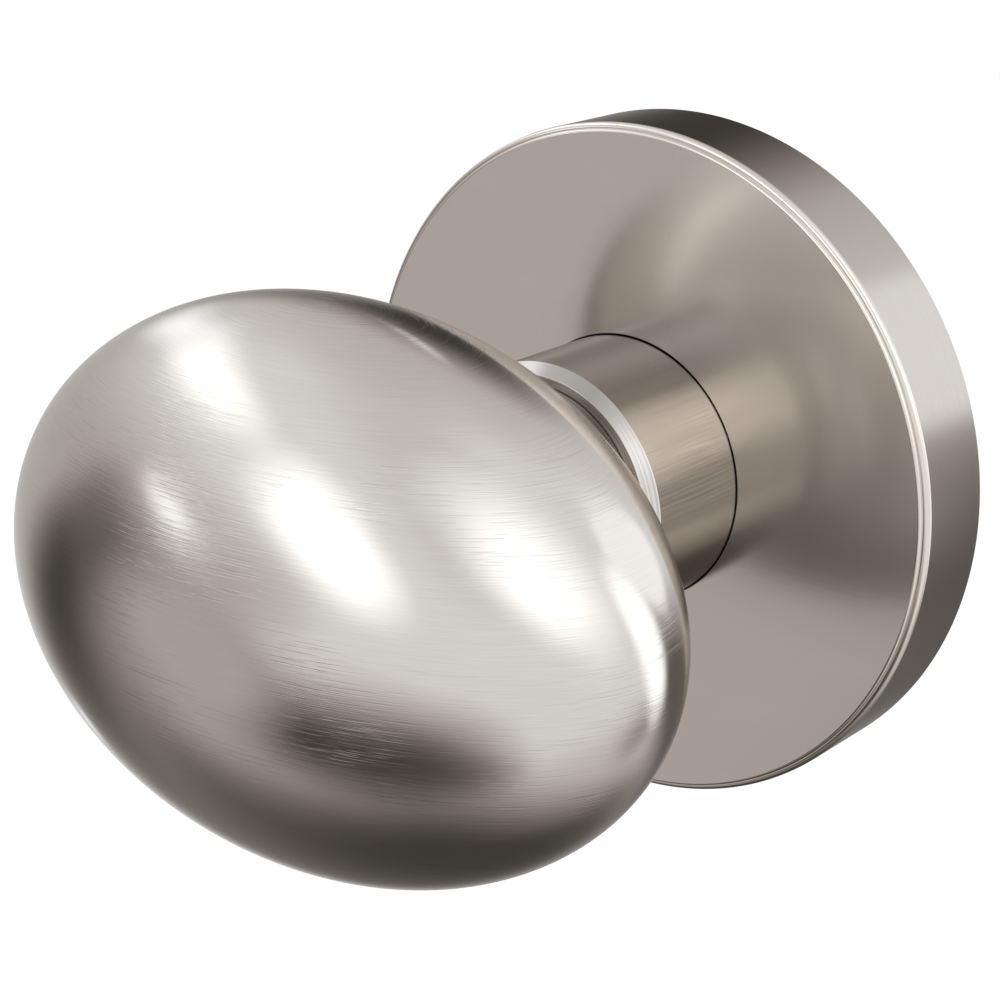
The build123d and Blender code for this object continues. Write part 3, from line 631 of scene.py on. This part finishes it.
def length_brushed_nickel(settings):
    """Satin nickel of the neck: hairlines run along the tube, in patches, and its colour carries a painted
    highlight band round it, a fainter painted highlight lower down and painted shade along its top; the
    chamfer is polished, with fine turned rings, and painted shade darkens its top."""
    finish, neck = settings.finish, settings.neck
    material, n = new_material("finish_satin_nickel_neck")
    x, y, z = n.parts(n.point())
    hair = n.noise(n.vector(x * 6500.0, y * 110.0, z * 6500.0), detail=1.0).ramp(0.3, 0.7)
    band = n.noise(n.vector(x * 700.0, y * 20.0, z * 700.0), detail=2.0, roughness=0.5)
    brushed = facing(x, z, neck.radius, 20).ramp(0.93, 0.985)
    patch = n.noise(n.vector(x * 200.0, y * 120.0, z * 200.0), detail=1.0).ramp(0.35, 0.6)
    patch = patch * (brushed * 0.8 + 0.2)
    turned = lathe_rings(n, from_axis(x, z), y)
    edge = neck.front_out - neck.chamfer
    chamfer = (y * -1.0).ramp(edge - 0.1 * MM, edge)

    # painted highlight: the neck's colour is lifted in a band facing 34 degrees round from +X, and less in
    # one facing -10 degrees; painted shade darkens it towards the top
    light = facing(x, z, neck.radius, 34).ramp(0.94, 1.0)
    low = facing(x, z, neck.radius, -10).ramp(0.985, 1.0)
    height = facing(x, z, neck.radius, 90)
    painted_light_and_hair_gain = 1.0 + light * 0.95 + low * 0.5 - height.ramp(0.68, 0.93) * 0.45
    painted_light_and_hair_gain = painted_light_and_hair_gain * (0.86 + band * 0.14 + (hair - 0.4) * patch * 0.3)
    # factors for the painted shaded and lit copies of the neck's nickel, with the hairlines' tone between
    # them
    shaded_copy_factor, lit_copy_factor = 0.4, 2.3
    painted_light_and_hair_share = (painted_light_and_hair_gain - shaded_copy_factor) / (lit_copy_factor - shaded_copy_factor)
    tone = n.blend(painted_light_and_hair_share, shade(finish.nickel_neck, shaded_copy_factor), shade(finish.nickel_neck, lit_copy_factor))
    polished = n.blend(turned.ramp(0.3, 0.7), shade(finish.nickel, 0.80), shade(finish.nickel, 1.14))
    # painted shade: the polished chamfer's colour darkens towards its top
    polished = n.blend(height.ramp(0.3, 0.8), polished, shade(finish.nickel, 0.66))
    tone = n.blend(chamfer, tone, polished)

    polished_roughness = 0.15
    rough = finish.neck_roughness + (band - 0.5) * 0.08 * (1.0 - chamfer)
    rough = rough - chamfer * (finish.neck_roughness - polished_roughness)
    relief = (hair * patch + band * 0.3) * (1.0 - chamfer) + turned * chamfer * 0.8
    n.close(base_color=tone, metallic=1.0, roughness=rough, normal=n.bump(relief, 0.006 * MM))
    return material


def cast_zinc(settings):
    """Bare die casting: fine matt grain, soft flow clouds and a few dark pores."""
    material, n = new_material("finish_zinc_casting")
    point = n.point()
    grain = n.noise(point, scale=2400.0, detail=2.0, roughness=0.6)
    flow = n.noise(point, scale=140.0, detail=4.0, roughness=0.6)
    pore = n.noise(point, scale=1100.0, detail=0.0).ramp(0.70, 0.78)
    base = settings.finish.zinc_casting
    tone = n.blend(flow, shade(base, 0.82), shade(base, 1.12))
    tone = n.blend(pore, tone, shade(base, 0.45))
    rough = 0.46 + (flow - 0.5) * 0.2 + (grain - 0.5) * 0.1
    relief = grain * 0.6 + flow * 0.4 - pore
    n.close(base_color=tone, metallic=1.0, roughness=rough, normal=n.bump(relief, 0.03 * MM, 0.6))
    return material


def plated_steel(settings):
    """Bright zinc plating on turned steel: fine rings along the depth and a cool, cloudy tone."""
    material, n = new_material("finish_zinc_plated_steel")
    point = n.point()
    x, y, z = n.parts(point)
    rings = n.noise(n.vector(x * 60.0, y * 3200.0, z * 60.0), detail=3.0, roughness=0.6)
    cloud = n.noise(point, scale=260.0, detail=3.0, roughness=0.55)
    base = settings.finish.zinc_plate
    tone = n.blend(cloud, shade(base, 0.9), shade(base, 1.05, tint=(1.0, 0.99, 0.94)))
    rough = 0.27 + (rings - 0.5) * 0.16 + (cloud - 0.5) * 0.12
    n.close(base_color=tone, metallic=1.0, roughness=rough, normal=n.bump(rings, 0.012 * MM))
    return material


def oiled_spring_steel(settings):
    """Dark spring steel: blued patches, a thin uneven oil film and drawing lines."""
    material, n = new_material("finish_spring_steel")
    point = n.point()
    x, y, z = n.parts(point)
    cloud = n.noise(point, scale=420.0, detail=3.0, roughness=0.6)
    lines = n.noise(n.vector(x * 300.0, y * 5000.0, z * 300.0), detail=2.0, roughness=0.5)
    base = settings.finish.spring_steel
    tone = n.blend(cloud, shade(base, 0.75), shade(base, 1.3, tint=(0.95, 1.0, 1.1)))
    rough = 0.3 + (cloud - 0.5) * 0.3 + (lines - 0.5) * 0.1
    n.close(base_color=tone, metallic=1.0, roughness=rough, normal=n.bump(lines, 0.01 * MM))
    return material


def drawn_bar(settings):
    """Cold drawn square bar: lengthwise drawing lines, mill tone that varies along the bar."""
    material, n = new_material("finish_spindle_steel")
    point = n.point()
    x, y, z = n.parts(point)
    lines = n.noise(n.vector(x * 4200.0, y * 60.0, z * 4200.0), detail=3.0, roughness=0.6)
    cloud = n.noise(point, scale=180.0, detail=3.0, roughness=0.55)
    base = settings.finish.spindle
    tone = n.blend(cloud * 0.6 + lines * 0.4, shade(base, 0.84), shade(base, 1.1))
    rough = 0.32 + (lines - 0.5) * 0.16 + (cloud - 0.5) * 0.12
    n.close(base_color=tone, metallic=1.0, roughness=rough, normal=n.bump(lines, 0.014 * MM))
    return material


def moulded_nylon(settings):
    """Black nylon: fine spark grain, slightly greyer where it is rubbed."""
    material, n = new_material("finish_nylon")
    point = n.point()
    grain = n.noise(point, scale=3000.0, detail=2.0, roughness=0.6)
    rub = n.noise(point, scale=240.0, detail=2.0, roughness=0.5).ramp(0.45, 0.75)
    base = settings.finish.nylon
    tone = n.blend(rub, shade(base, 0.9), shade(base, 1.6))
    rough = 0.52 + (grain - 0.5) * 0.16 - rub * 0.1
    n.close(base_color=tone, metallic=0.0, roughness=rough, normal=n.bump(grain, 0.02 * MM, 0.7))
    return material


# slot in the record, and the function that makes its finish
FINISHES = {
    "satin_nickel": level_brushed_nickel,
    "satin_nickel_rose": turned_nickel,
    "satin_nickel_neck": length_brushed_nickel,
    "zinc_casting": cast_zinc,
    "zinc_plated_steel": plated_steel,
    "spring_steel": oiled_spring_steel,
    "spindle_steel": drawn_bar,
    "nylon": moulded_nylon,
}


def finish_named(slot):
    """The slot's finish, made on first use; the frame has plain materials under the slots' own names."""
    made = bpy.data.materials.get("finish_" + slot)
    return made or FINISHES[slot](bpy.context.scene.door_knob)


def dress(piece, slot, body, *nodes):
    """Gives a new skin its finish, its body and the nodes that it stands for."""
    piece.data.materials.append(finish_named(slot))
    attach(piece, body)
    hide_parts(*nodes)


# ---------------------------------------------------------------- studio
# directions are an azimuth and an elevation in degrees; azimuth 0 points out of the door, 90 along +X
# camera: its direction, its focal length and sensor width in millimetres, and how far it stands back,
# left and down in its own axes from the middle of the rose's back
CAMERA_DIRECTION = (40.09, 19.60)
CAMERA_LENS, CAMERA_SENSOR = 82.155, 36.0
CAMERA_BACK, CAMERA_LEFT, CAMERA_BELOW = 226.209 * MM, 18.073 * MM, 5.605 * MM

# watts for each square metre of an area lamp that make it as bright as a white of 1
WATTS_PER_AREA = 4.0
# lamp: direction it shines from, half angle, brightness
LAMPS = {
    "key_lamp": (60, 40, 20, 1.5),
    "front_lamp": (-12, 28, 18, 1.5),
    "top_lamp": (0, 82, 20, 1.2),
}
# panel, from the farthest to the nearest: direction, half angles across and up, turn, what it shows
# in a mirror, and the share of its size over which it fades out
PANELS = {
    "top": (9, 70, 27, 64, 31, 0.80, 0.91),
    "back_top": (-150, 30, 66, 48, -81, 0.66, 0.91),
    "grey_left": (-79, -3, 73, 39, 3, 0.56, 0.81),
    "grey_right_low": (111, -59, 59, 36, 39, 0.74, 0.65),
    "grey_low_left": (-100, -56, 62, 38, 44, 0.27, 0.73),
    "grey_front": (9, -38, 38, 28, -14, 0.25, 1.00),
    "glow_right": (72, 36, 54, 30, -53, 1.58, 1.00),
    "dark_low": (-103, -84, 47, 60, -90, 0.07, 0.91),
    "dark_back": (170, -26, 56, 28, -22, 0.14, 0.84),
    "dark_back_left": (-148, 20, 23, 40, 27, 0.06, 0.90),
    "dark_left": (-77, -18, 18, 39, -36, 0.08, 0.95),
    "dark_front": (-25, -32, 65, 22, -37, 0.06, 0.98),
    "grey_mid_left": (-40, -19, 25, 21, -56, 0.57, 0.65),
    "bright_right": (61, 30, 24, 35, 46, 1.95, 1.00),
    "bright_front": (-11, 25, 16.5, 33, 47, 2.10, 0.85),
    "arc_left": (-78, 40, 36, 10.5, 14, 2.00, 0.97),
    "arc_far_left": (-109, 24, 7.6, 26, -41, 1.50, 1.00),
    "dark_right": (128, -34, 26, 14, 35, 0.42, 1.00),
    "strip_right": (127, -1, 15, 40, 25, 1.70, 0.53),
    "strip_far_right": (146, 20, 16, 30, 44, 1.35, 0.31),
    "spot_left": (-46, 11, 17, 5.2, -31, 1.80, 1.00),
    "strip_far_left": (-112, -32, 2.6, 5.1, 83, 1.12, 0.99),
    "slit_back": (-148, 41, 2.3, 12, 32, 1.01, 0.87),
}

# how square a panel is: 2 is round, and larger numbers fill its corners
PANEL_SQUARENESS = 2.5
# tints of the tent's cloth where it is dark and where it is light, and its rows and columns of points
TENT_DARK, TENT_LIGHT = (1.0, 0.945, 0.885), (0.965, 1.0, 1.045)
TENT_ROWS, TENT_COLUMNS = 178, 360
WHITE = (1.0, 1.0, 1.0, 1.0)


def direction(azimuth, elevation):
    """Unit vector from the knob to a direction."""
    a, e = math.radians(azimuth), math.radians(elevation)
    return Vector((math.sin(a) * math.cos(e), -math.cos(a) * math.cos(e), math.sin(e)))


def level_right(azimuth):
    """Level unit vector to the right of someone who looks at the knob from an azimuth."""
    return Vector((math.cos(math.radians(azimuth)), math.sin(math.radians(azimuth)), 0.0))


def add_lamp(name, target, distance, azimuth, elevation, half, level):
    """Square area lamp that faces the knob and lights it, but isn't itself mirrored in it."""
    lamp = bpy.data.lights.new(name, "AREA")
    lamp.size = 2 * distance * math.tan(math.radians(half))
    lamp.energy = WATTS_PER_AREA * lamp.size**2 * level
    made = bpy.data.objects.new(name, lamp)
    way = direction(azimuth, elevation)
    aim = way.to_track_quat("Z", "Y").to_matrix().to_4x4()
    made.matrix_world = Matrix.Translation(target + way * distance) @ aim
    made.visible_camera = False
    made.visible_glossy = False
    bpy.context.scene.collection.objects.link(made)


def panel_cover(way, azimuth, elevation, across, up, turn, fade):
    """How much a panel covers in each direction: with a and b the direction's place on the panel, from
    -1 to 1 across and up, and q = (|a|^s + |b|^s)^(1 / s) for its squareness s, it fades smoothly
    from q = 1 - fade to q = 1."""
    middle = np.array(direction(azimuth, elevation))
    right = np.array(level_right(azimuth))
    over = np.cross(middle, right)
    cosine, sine = math.cos(math.radians(turn)), math.sin(math.radians(turn))
    ahead = np.maximum(way @ middle, 1e-3)
    a = way @ (right * cosine + over * sine) / ahead / math.tan(math.radians(across))
    b = way @ (over * cosine - right * sine) / ahead / math.tan(math.radians(up))
    q = (np.abs(a) ** PANEL_SQUARENESS + np.abs(b) ** PANEL_SQUARENESS) ** (1 / PANEL_SQUARENESS)
    cover = np.where(way @ middle > 0, np.clip((1 - q) / fade, 0, 1), 0)
    return cover * cover * (3 - 2 * cover)


def add_tent(target, distance):
    """Round light tent that shows only in mirrors: white, with the panels laid over it in turn.
    Its points lie at x = sin d cos a, y = sin d sin a and z = cos d, times the distance."""
    around = np.linspace(0, 2 * math.pi, TENT_COLUMNS, endpoint=False)[None, :]
    down = np.linspace(0, math.pi, TENT_ROWS + 2)[1:-1, None]
    parts = np.sin(down) * np.cos(around), np.sin(down) * np.sin(around), np.cos(down)
    way = np.stack(np.broadcast_arrays(*parts), axis=-1)
    poles = np.array([[0.0, 0.0, 1.0], [0.0, 0.0, -1.0]])
    tent = skin("light_tent", np.array(target) + distance * way, np.array(target) + distance * poles)
    way = np.concatenate([way.reshape(-1, 3), poles])
    glow = np.ones(len(way))
    for *panel, level, fade in PANELS.values():
        cover = panel_cover(way, *panel, fade)
        glow = glow * (1 - cover) + level * cover
    tent.data.attributes.new("glow", "FLOAT", "POINT").data.foreach_set("value", glow.astype(np.float32))
    material, n = new_material("light_tent")
    level = n.add("ShaderNodeAttribute", {"attribute_name": "glow"}, output=2)
    tint = n.blend(level.ramp(0.05, 1.25), TENT_DARK, TENT_LIGHT)
    cloth = n.add("ShaderNodeEmission", inputs={"Color": tint, "Strength": level})
    n.add("ShaderNodeOutputMaterial", inputs={"Surface": cloth})
    tent.data.materials.append(material)
    tent.visible_camera = False
    tent.visible_diffuse = False
    tent.visible_transmission = False
    tent.visible_shadow = False


def seen_or_mirrored(n):
    """One for camera, glossy and transmission rays, nothing for the rest."""
    names = "Is Camera Ray", "Is Glossy Ray", "Is Transmission Ray"
    seen, mirrored, through = (n.add("ShaderNodeLightPath", output=name) for name in names)
    return (seen + mirrored + through).atmost(1.0)


# ---------------------------------------------------------------- operators
class DOORKNOB_OT_head(bpy.types.Operator):
    """Build the brushed egg with its turned foot"""

    bl_idname = "doorknob.head"
    bl_label = "Knob Head"

    def execute(self, context):
        rings, poles = head_rings(context.scene.door_knob.head)
        piece = skin("knob_head", rings, poles)
        dress(piece, "satin_nickel", "knob", "knob_front_shell", "knob_back_shell")
        return {"FINISHED"}


class DOORKNOB_OT_neck(bpy.types.Operator):
    """Build the neck with its polished chamfer"""

    bl_idname = "doorknob.neck"
    bl_label = "Neck"

    def execute(self, context):
        piece = skin("neck_tube", turned_rings(neck_profile(context.scene.door_knob.neck)))
        dress(piece, "satin_nickel_neck", "knob", "neck_sleeve")
        return {"FINISHED"}


class DOORKNOB_OT_rose(bpy.types.Operator):
    """Build the round rose with its stepped rim"""

    bl_idname = "doorknob.rose"
    bl_label = "Rose"

    def execute(self, context):
        piece = skin("rose_disc", turned_rings(rose_profile(context.scene.door_knob.rose)))
        dress(piece, "satin_nickel_rose", "rose", "rose_cover")
        return {"FINISHED"}


class DOORKNOB_OT_mechanism(bpy.types.Operator):
    """Give every part of the frame its finish"""

    bl_idname = "doorknob.mechanism"
    bl_label = "Mechanism"

    def execute(self, context):
        slots = {part["node"]: part["material_slot"] for part in frame["record"]["subparts"]}
        for name, node in frame["nodes"].items():
            node.data.materials.clear()
            node.data.materials.append(finish_named(slots[name]))
        return {"FINISHED"}


class DOORKNOB_OT_stage(bpy.types.Operator):
    """Set up the floor, the even light, lamps, panels and camera"""

    bl_idname = "doorknob.stage"
    bl_label = "Stage"

    def execute(self, context):
        studio = context.scene.door_knob.studio
        target = Vector((0.0, -context.scene.door_knob.head.middle_out, 0.0))
        self.floor(studio)
        self.even_light(context.scene, studio)
        for name, values in LAMPS.items():
            add_lamp(name, target, studio.distance, *values)
        add_tent(target, studio.distance)
        self.camera(context.scene)
        context.scene.view_settings.view_transform = "Standard"
        return {"FINISHED"}

    def floor(self, studio):
        far, down = 30.0, -studio.floor_below  # half of its width and its height, in metres
        mesh = bpy.data.meshes.new("floor")
        corners = [(-far, -far, down), (far, -far, down), (far, far, down), (-far, far, down)]
        mesh.from_pydata(corners, [], [(0, 1, 2, 3)])
        material, n = new_material("floor")
        cloth = n.add("ShaderNodeBsdfDiffuse", inputs={"Color": rgba(studio.floor_colour)})
        lift = seen_or_mirrored(n) * studio.floor_lift
        glow = n.add("ShaderNodeEmission", inputs={"Color": WHITE, "Strength": lift})
        both = n.add("ShaderNodeAddShader", inputs={0: cloth, 1: glow})
        n.add("ShaderNodeOutputMaterial", inputs={"Surface": both})
        mesh.materials.append(material)
        made = bpy.data.objects.new("floor", mesh)
        bpy.context.scene.collection.objects.link(made)

    def even_light(self, scene, studio):
        world = bpy.data.worlds.new("studio")
        world.use_nodes = True
        scene.world = world
        n = Nodes(world.node_tree)
        strength = seen_or_mirrored(n) * (1.0 - studio.ambient) + studio.ambient
        air = n.add("ShaderNodeBackground", inputs={"Color": WHITE, "Strength": strength})
        n.add("ShaderNodeOutputWorld", inputs={"Surface": air})

    def camera(self, scene):
        lens = bpy.data.cameras.new("camera")
        lens.sensor_width, lens.lens = CAMERA_SENSOR, CAMERA_LENS
        lens.clip_start, lens.clip_end = 0.01, 100.0
        made = bpy.data.objects.new("camera", lens)
        back, right = direction(*CAMERA_DIRECTION), level_right(CAMERA_DIRECTION[0])
        up = back.cross(right)
        place = back * CAMERA_BACK - right * CAMERA_LEFT - up * CAMERA_BELOW
        turn = Matrix((right, up, back)).transposed().to_4x4()
        made.matrix_world = Matrix.Translation(place) @ turn
        scene.collection.objects.link(made)
        scene.camera = made


OPERATORS = (
    DOORKNOB_OT_head,
    DOORKNOB_OT_neck,
    DOORKNOB_OT_rose,
    DOORKNOB_OT_mechanism,
    DOORKNOB_OT_stage,
)


class DOORKNOB_PT_panel(bpy.types.Panel):
    """Sizes, finishes and steps of the door knob"""

    bl_idname = "DOORKNOB_PT_panel"
    bl_label = "Door Knob"
    bl_space_type = "VIEW_3D"
    bl_region_type = "UI"
    bl_category = "Door Knob"

    def draw(self, context):
        settings = context.scene.door_knob
        for operator in OPERATORS:
            self.layout.operator(operator.bl_idname)
        for group in (settings.head, settings.neck, settings.rose, settings.finish, settings.studio):
            box = self.layout.box()
            for name in group.__annotations__:
                box.prop(group, name)


CLASSES = (
    KnobHeadSizes,
    NeckSizes,
    RoseSizes,
    FinishSettings,
    StudioSettings,
    DoorKnobSettings,
    *OPERATORS,
    DOORKNOB_PT_panel,
)


def register():
    for item in CLASSES:
        bpy.utils.register_class(item)
    bpy.types.Scene.door_knob = bpy.props.PointerProperty(type=DoorKnobSettings)


def unregister():
    del bpy.types.Scene.door_knob
    for item in reversed(CLASSES):
        bpy.utils.unregister_class(item)


def main():
    """Registers the add-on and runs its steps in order."""
    register()
    bpy.ops.doorknob.head()
    bpy.ops.doorknob.neck()
    bpy.ops.doorknob.rose()
    bpy.ops.doorknob.mechanism()
    bpy.ops.doorknob.stage()


if __name__ == "__main__":
    main()
